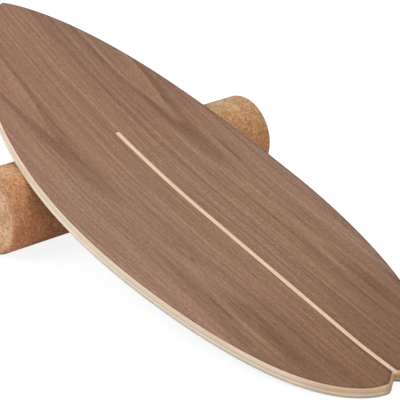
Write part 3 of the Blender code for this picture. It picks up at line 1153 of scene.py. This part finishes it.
@dataclass
class Board:
    """The laminated board."""

    outline: Outline = field(default_factory=Outline)
    profile: SideProfile = field(default_factory=SideProfile)
    side_round: RimRound = RimRound(0.0011, 0.0014)
    notch_round: RimRound = RimRound(0.0065, 0.005, 16)
    under_round: RimRound = RimRound(0.0008, 0.0008, 7)
    rim_steps: int = 14
    least_gap: float = 0.00006
    thickness: float = 0.0132
    veneer: float = 0.0004
    skin: float = 0.0006
    face_margin: float = 0.0026
    crease: float = math.radians(35)
    fold_weld: float = 1e-7
    rim_cuts: int = 7
    stripe_width: float = 0.0056
    stripe_start: float = 0.471
    stripe_corner: float = 0.0016
    stripe_corner_steps: int = 4
    cutter_reach: float = 0.02
    contact_at: float = 0.4653
    roller_side: float = -0.0234
    # each ply's last colour is its tint at the tail end: its own tone and painted shade
    plies: tuple[PlyLook, ...] = (
        PlyLook(
            "cross_ply_1",
            Slot.PALE_PLY,
            Grain.ACROSS,
            srgb(217, 190, 163),
            srgb(250, 226, 203),
            (0.93, 0.83, 0.70, 1.0),
        ),
        PlyLook(
            "long_ply_2",
            Slot.PALE_PLY,
            Grain.ALONG,
            srgb(217, 192, 165),
            srgb(246, 223, 200),
            (0.82, 0.69, 0.54, 1.0),
        ),
        PlyLook(
            "cross_ply_3",
            Slot.CROSS_PLY,
            Grain.ACROSS,
            srgb(189, 168, 145),
            srgb(222, 202, 179),
            (0.94, 0.86, 0.78, 1.0),
        ),
        PlyLook(
            "long_ply_4",
            Slot.PALE_PLY,
            Grain.ALONG,
            srgb(215, 195, 175),
            srgb(244, 227, 210),
            (0.94, 0.86, 0.78, 1.0),
        ),
        PlyLook(
            "cross_ply_5",
            Slot.GREY_PLY,
            Grain.ACROSS,
            srgb(187, 173, 159),
            srgb(216, 204, 191),
            (0.88, 0.82, 0.78, 1.0),
        ),
    )
    underside: PlyLook = PlyLook(
        "underside_skin",
        Slot.UNDERSIDE,
        Grain.ALONG,
        srgb(92, 80, 72),
        srgb(124, 110, 100),
        (0.88, 0.82, 0.78, 1.0),
    )

    def sheets(self) -> list[Sheet]:
        """List the sheets.

        Returns:
            The sheets from the deck down.
        """
        ply = (self.thickness - self.veneer - self.skin) / len(self.plies)
        stack = [Sheet("walnut_deck", "top_veneer", Slot.WALNUT, 0.0, self.veneer)]
        depth = self.veneer
        for number, look in enumerate(self.plies, start=1):
            stack.append(Sheet(look.name, f"core_ply_{number}", look.slot, depth, depth + ply, look))
            depth += ply
        under = self.underside
        return [*stack, Sheet(under.name, "bottom_veneer", under.slot, depth, self.thickness, under)]

    def placement(self) -> Matrix:
        """Find where the board lies, with its nose arc's centre and the roller's axle at the CAD joints.

        Returns:
            The matrix that carries the board's own places to the row frame.
        """
        places = {joint["name"]: Vector(joint["pos_m"]) for joint in frame["joints"]}
        centre, axle = places["roller_travel"], places["roller_spin"]
        arm = axle - centre
        contact = (self.contact_at - self.profile.rocker_start) / self.profile.rocker_radius
        lean = math.atan2(arm.x, -arm.z) - contact
        own_centre = Vector((self.profile.rocker_start, self.roller_side, self.profile.rocker_radius))
        return Matrix.Translation(centre) @ Matrix.Rotation(-lean, 4, "Y") @ Matrix.Translation(-own_centre)

    def insets(self, depth: float) -> tuple[float, float]:
        """Return how far inside the outline the rim lies at a depth, at the sides and in the notch."""
        under = self.under_round.inset(self.thickness - depth)
        return self.side_round.inset(depth) + under, self.notch_round.inset(depth) + under

    def levels(self, top: float, bottom: float) -> list[float]:
        """Return the depths of a sheet's rings, closer together where the rim is rounded.

        Args:
            top: Depth of the sheet's upper face.
            bottom: Depth of its lower face.

        Returns:
            The depths, from the upper face to the lower.
        """
        upper = self.notch_round.levels()
        lower = [self.thickness - depth for depth in self.under_round.levels()]
        steps = [self.thickness * number / self.rim_steps for number in range(self.rim_steps + 1)]
        kept = [top]
        for depth in sorted([*upper, *lower, *steps]):
            if top + self.least_gap < depth < bottom - self.least_gap and depth - kept[-1] > self.least_gap:
                kept.append(depth)
        return [*kept, bottom]

    def flat_solid(self, sheet: Sheet) -> bmesh.types.BMesh:
        """Make a sheet as a flat closed solid with its share of the rounded rim.

        Args:
            sheet: The sheet.

        Returns:
            The solid.
        """
        margin = self.face_margin
        places = [(*self.insets(depth), depth) for depth in self.levels(sheet.top, sheet.bottom)]
        if sheet.top == 0.0:
            rim, notch, depth = places[0]
            places.insert(0, (rim + margin, notch + margin, depth))
        if sheet.bottom == self.thickness:
            rim, notch, depth = places[-1]
            places.append((rim + margin, notch + margin, depth))
        solid = bmesh.new()
        rings = [self.outline.add_ring(solid, *place) for place in places]
        for upper, lower in zip(rings, rings[1:]):
            bmesh.ops.bridge_loops(solid, edges=upper + lower)
        bmesh.ops.contextual_create(solid, geom=rings[0])
        bmesh.ops.contextual_create(solid, geom=rings[-1])
        bmesh.ops.recalc_face_normals(solid, faces=solid.faces[:])
        return solid

    def stripe_cutter(self) -> bpy.types.Object:
        """Make a bar that fills the stripe's place and runs out through the notch.

        Returns:
            The bar.
        """
        reach = self.cutter_reach
        start = self.outline.notch_at - reach
        length = self.stripe_start - start
        bar = bmesh.new()
        bmesh.ops.create_cube(bar, size=1.0)
        bmesh.ops.scale(bar, vec=(length, self.stripe_width, reach), verts=bar.verts[:])
        bmesh.ops.translate(bar, vec=(start + length / 2, 0.0, 0.0), verts=bar.verts[:])
        corners = [
            edge
            for edge in bar.edges
            if all(vertex.co.x > start + reach for vertex in edge.verts)
            and abs(edge.verts[0].co.z - edge.verts[1].co.z) > reach / 2
        ]
        bmesh.ops.bevel(
            bar,
            geom=corners,
            offset=self.stripe_corner,
            segments=self.stripe_corner_steps,
            profile=0.5,
            affect="EDGES",
            material=-1,
        )
        mesh = bpy.data.meshes.new("stripe_cutter")
        bar.to_mesh(mesh)
        bar.free()
        return link_object("stripe_cutter", mesh)

    def cut_by_stripe(self, solid: bmesh.types.BMesh, left: Cut) -> bmesh.types.BMesh:
        """Cut a flat solid by the stripe's place.

        Args:
            solid: The flat solid.
            left: Which part is left.

        Returns:
            The cut solid.
        """
        mesh = bpy.data.meshes.new("blank")
        solid.to_mesh(mesh)
        blank = link_object("blank", mesh)
        cutter = self.stripe_cutter()
        cut = blank.modifiers.new("stripe", "BOOLEAN")
        cut.operation = left.value
        cut.object = cutter
        cut.solver = "EXACT"
        view = bpy.context.evaluated_depsgraph_get()
        result = bmesh.new()
        result.from_mesh(blank.evaluated_get(view).to_mesh())
        for item in (blank, cutter):
            bpy.data.objects.remove(item, do_unlink=True)
        return result

    @cached_property
    def rim_line(self) -> kdtree.KDTree:
        """Lay points along the deck's rim, to measure from.

        Returns:
            The points, as flat places.
        """
        deck = bmesh.new()
        self.outline.add_ring(deck, *self.insets(0.0), 0.0)
        bmesh.ops.subdivide_edges(deck, edges=deck.edges[:], cuts=self.rim_cuts)
        tree = kdtree.KDTree(len(deck.verts))
        for number, vertex in enumerate(deck.verts):
            tree.insert(vertex.co, number)
        tree.balance()
        deck.free()
        return tree

    def bent_mesh(self, solid: bmesh.types.BMesh, placement: Matrix) -> bpy.types.Mesh:
        """Bend a flat solid and put it in place, with its flat places kept for its grain.

        Args:
            solid: The flat solid.
            placement: Matrix from the board's own places to the row frame.

        Returns:
            The mesh.
        """
        for along in self.profile.folds(self.outline.lobe_tip_at, self.outline.nose_tip_at):
            bmesh.ops.bisect_plane(
                solid,
                geom=solid.verts[:] + solid.edges[:] + solid.faces[:],
                dist=self.fold_weld,
                plane_co=(along, 0.0, 0.0),
                plane_no=(1.0, 0.0, 0.0),
            )
        flat = solid.verts.layers.float_vector.new(FLAT_PLACE)
        inside = solid.verts.layers.float.new(RIM_DISTANCE)
        for vertex in solid.verts:
            along, side, depth = vertex.co.x, vertex.co.y, -vertex.co.z
            vertex[flat] = (along, side, depth)
            vertex[inside] = self.rim_line.find(vertex.co)[2]
            vertex.co = placement @ self.profile.bend(along, side, depth)
        return smooth_mesh(solid, self.crease)

    def build(self) -> None:
        """Build, dress and place every sheet and the stripe."""
        placement = self.placement()
        sheets = self.sheets()
        stripe = Sheet("maple_stripe", "stringer_inlay", Slot.MAPLE, 0.0, sheets[1].bottom)
        for sheet in [*sheets, stripe]:
            solid = self.flat_solid(sheet)
            if sheet is stripe:
                solid = self.cut_by_stripe(solid, Cut.INSIDE)
            elif sheet.top < stripe.bottom:
                solid = self.cut_by_stripe(solid, Cut.AROUND)
            mesh = self.bent_mesh(solid, placement)
            add_piece(sheet.name, mesh, sheet.material(), Body.BOARD, sheet.slot, sheet.node)


@dataclass
class Roller:
    """The cork roller: a turned sleeve on a dowel, with a plug in each end."""

    cad_radius: float = 0.05
    cad_sides: int = 64
    length: float = 0.398
    edge_round: float = 0.004
    edge_steps: int = 6
    bore: float = 0.0152
    sides: int = 200
    grid: float = 0.002
    weld: float = 1e-6
    crease: float = math.radians(40)
    plug_radius: float = 0.0150
    plug_length: float = 0.012
    plug_lip: float = 0.0004
    plug_recess: float = 0.0001
    plug_sides: int = 96
    hollow_depth: float = 0.00007
    hollow_level: float = 0.3
    hollow_fineness: float = 330.0
    crumb_fineness: float = 760.0
    crumb_share: float = 0.6
    pit_depth: float = 0.00035
    pit_level: float = 0.52
    pit_steepness: float = 9.0
    pit_fineness: float = 150.0
    pit_shift: Triple = (7.0, 3.0, 5.0)

    @property
    def radius(self) -> float:
        """Return the radius that lies inside the CAD sleeve's flats and stands on the floor."""
        return self.cad_radius * math.cos(math.pi / self.cad_sides)

    @property
    def axle(self) -> Vector:
        """Return the middle of the roller's axis."""
        return next(Vector(joint["pos_m"]) for joint in frame["joints"] if joint["name"] == "roller_spin")

    def turned(self, profile: list[tuple[float, float]], sides: int) -> bmesh.types.BMesh:
        """Return a solid turned about the Y axis.

        Args:
            profile: Closed row of radius and place along the axis.
            sides: How many steps round.

        Returns:
            The solid, about the origin.
        """
        solid = bmesh.new()
        corners = [solid.verts.new((radius, place, 0.0)) for radius, place in profile]
        edges = [solid.edges.new(pair) for pair in zip(corners, corners[1:] + corners[:1])]
        for edge in edges:
            cuts = math.ceil(edge.calc_length() / self.grid) - 1
            if cuts > 0:
                bmesh.ops.subdivide_edges(solid, edges=[edge], cuts=cuts)
        bmesh.ops.spin(
            solid,
            geom=solid.verts[:] + solid.edges[:],
            cent=(0.0, 0.0, 0.0),
            axis=(0.0, 1.0, 0.0),
            angle=math.tau,
            steps=sides,
            use_merge=True,
        )
        bmesh.ops.remove_doubles(solid, verts=solid.verts[:], dist=self.weld)
        bmesh.ops.recalc_face_normals(solid, faces=solid.faces[:])
        return solid

    def roughen(self, solid: bmesh.types.BMesh) -> None:
        """Sink small pits, and hollows between the granules, into the cork's faces.

        Args:
            solid: The turned sleeve.
        """
        solid.normal_update()
        pit_shift = Vector(self.pit_shift)
        for vertex in solid.verts:
            place = vertex.co
            if math.hypot(place.x, place.z) < self.bore + self.grid / 2:
                continue
            crumbs = self.crumb_share * noise.noise(place * self.crumb_fineness)
            hollow = noise.noise(place * self.hollow_fineness) + crumbs
            pit = max(0.0, noise.noise(place * self.pit_fineness + pit_shift) - self.pit_level)
            sink = self.hollow_depth * max(0.0, hollow + self.hollow_level)
            sink += self.pit_depth * min(1.0, pit * self.pit_steepness)
            vertex.co -= vertex.normal * sink

    def placed(self, solid: bmesh.types.BMesh) -> bpy.types.Mesh:
        """Move a solid to the axle and return it as a mesh."""
        bmesh.ops.translate(solid, vec=self.axle, verts=solid.verts[:])
        return smooth_mesh(solid, self.crease)

    def build_sleeve(self, cork: bpy.types.Material) -> None:
        """Build the sleeve, with its edges rounded.

        Args:
            cork: Its material.
        """
        half, radius, edge = self.length / 2, self.radius, self.edge_round
        turns = [math.pi / 2 * number / self.edge_steps for number in range(self.edge_steps + 1)]
        near = [
            (radius - edge + edge * math.sin(turn), half - edge + edge * math.cos(turn)) for turn in turns
        ]
        far = [(ring, -place) for ring, place in reversed(near)]
        sleeve = self.turned([*near, *far, (self.bore, -half), (self.bore, half)], self.sides)
        self.roughen(sleeve)
        add_piece("cork_roller", self.placed(sleeve), cork, Body.ROLLER, Slot.CORK, "cork_sleeve")

    def build_plug(self, end: str, sign: float, cork: bpy.types.Material) -> None:
        """Build the plug of one end.

        Args:
            end: Which end, near or far.
            sign: 1 for the end towards +Y and -1 for the other.
            cork: Its material.
        """
        half = self.length / 2
        face, inner = half - self.plug_recess, half - self.plug_length
        profile = [
            (0.0, face),
            (self.plug_radius - self.plug_lip, face),
            (self.plug_radius, face - self.plug_lip),
            (self.plug_radius, inner),
            (0.0, inner),
        ]
        plug = self.turned([(ring, sign * place) for ring, place in profile], self.plug_sides)
        mesh = self.placed(plug)
        add_piece(f"cork_plug_{end}", mesh, cork, Body.ROLLER, Slot.CORK, f"{end}_end_plug")

    def dress_dowel(self) -> None:
        """Give the CAD dowel its finish, and report it."""
        dowel = frame["nodes"]["roller_core"]
        dowel.data.materials.clear()
        dowel.data.materials.append(BeechFinish().material())
        log.info("roller_core: dressed, on %s", Body.AXLE.value)

    def build(self) -> None:
        """Build, dress and place the sleeve and the plugs, and dress the dowel."""
        cork = CorkFinish(tuple(self.axle)).material()
        self.build_sleeve(cork)
        self.build_plug("near", 1.0, cork)
        self.build_plug("far", -1.0, cork)
        self.dress_dowel()


@dataclass(frozen=True)
class Lamp:
    """A soft square lamp aimed at the middle of the floor."""

    name: str
    place: Triple
    side: float
    watts: float

    def build(self) -> None:
        """Add the lamp."""
        light = bpy.data.lights.new(self.name, "AREA")
        light.shape = "SQUARE"
        light.size = self.side
        light.energy = self.watts
        item = link_object(self.name, light)
        item.location = self.place
        item.rotation_euler = (-Vector(self.place)).to_track_quat("-Z", "Y").to_euler()


@dataclass
class Studio:
    """The pale floor, the soft light and the camera."""

    floor_half: float = 6.0
    floor_colour: Colour = even(0.84)
    floor_surface: Surface = Surface(0.9, 0.0)
    floor_shadow: float = 0.30
    floor_glow: float = 1.25
    ambient: float = 0.197
    camera_place: Triple = (-1.36969, 1.24017, 0.98126)
    camera_turn: Triple = (64.6334, -2.6654, -130.654)
    lens: float = 158.94
    shift: tuple[float, float] = (0.0241, -0.0824)
    lamps: tuple[Lamp, ...] = (
        Lamp("key", (0.6, 2.4, 2.0), 1.8, 54.0),
        Lamp("overhead", (0.8, -0.4, 2.6), 1.8, 32.0),
        Lamp("side", (-2.4, 0.4, 1.2), 1.4, 19.0),
    )

    def build_floor(self) -> None:
        """Add the floor, which shows white where it is lit and keeps the object's shadow."""
        plane = bmesh.new()
        bmesh.ops.create_grid(plane, x_segments=1, y_segments=1, size=self.floor_half)
        mesh = bpy.data.meshes.new("floor")
        plane.to_mesh(mesh)
        plane.free()
        link_object("floor", mesh)
        graph = Graph("floor_paint", self.floor_surface)
        graph.feed(graph.shader.inputs["Base Color"], self.floor_colour)
        rays = graph.add("ShaderNodeLightPath", {}).outputs
        seen = graph.plus(rays["Is Camera Ray"], rays["Is Glossy Ray"], rays["Is Transmission Ray"])
        share = graph.times(graph.calc("MINIMUM", seen, 1.0), 1.0 - self.floor_shadow)
        glow = graph.add("ShaderNodeEmission", {"Color": even(1.0), "Strength": self.floor_glow})
        mixed = graph.add("ShaderNodeMixShader", {0: share, 1: graph.shader.outputs[0], 2: glow.outputs[0]})
        graph.feed(graph.tree.nodes["Material Output"].inputs["Surface"], mixed.outputs[0])
        mesh.materials.append(graph.material)

    def build_world(self) -> None:
        """Add the soft light from all round, with a white background."""
        world = bpy.data.worlds.new("studio")
        bpy.context.scene.world = world
        world.use_nodes = True
        nodes, links = world.node_tree.nodes, world.node_tree.links
        rays = nodes.new("ShaderNodeLightPath")
        shown = nodes.new("ShaderNodeMath")
        shown.operation = "MAXIMUM"
        links.new(rays.outputs["Is Camera Ray"], shown.inputs[0])
        links.new(rays.outputs["Is Transmission Ray"], shown.inputs[1])
        strength = nodes.new("ShaderNodeMapRange")
        strength.inputs["To Min"].default_value = self.ambient
        strength.inputs["To Max"].default_value = 1.0
        links.new(shown.outputs[0], strength.inputs["Value"])
        links.new(strength.outputs[0], nodes["Background"].inputs["Strength"])
        nodes["Background"].inputs["Color"].default_value = even(1.0)

    def build_camera(self) -> None:
        """Add the camera where the photo was taken from."""
        data = bpy.data.cameras.new("photo_view")
        data.lens = self.lens
        data.shift_x, data.shift_y = self.shift
        camera = link_object("photo_view", data)
        camera.location = self.camera_place
        camera.rotation_euler = [math.radians(angle) for angle in self.camera_turn]
        bpy.context.scene.camera = camera

    def build(self) -> None:
        """Add the floor, the world, the lamps and the camera."""
        self.build_floor()
        self.build_world()
        for lamp in self.lamps:
            lamp.build()
        self.build_camera()
        bpy.context.scene.view_settings.view_transform = "Standard"
        log.info("studio: floor, %d lamps and camera", len(self.lamps))


def main() -> None:
    """Build the board, the roller and the studio."""
    logging.basicConfig(level=logging.INFO, format="%(name)s: %(message)s")
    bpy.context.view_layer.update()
    Board().build()
    Roller().build()
    Studio().build()
    bpy.context.view_layer.update()


if __name__ == "__main__":
    main()
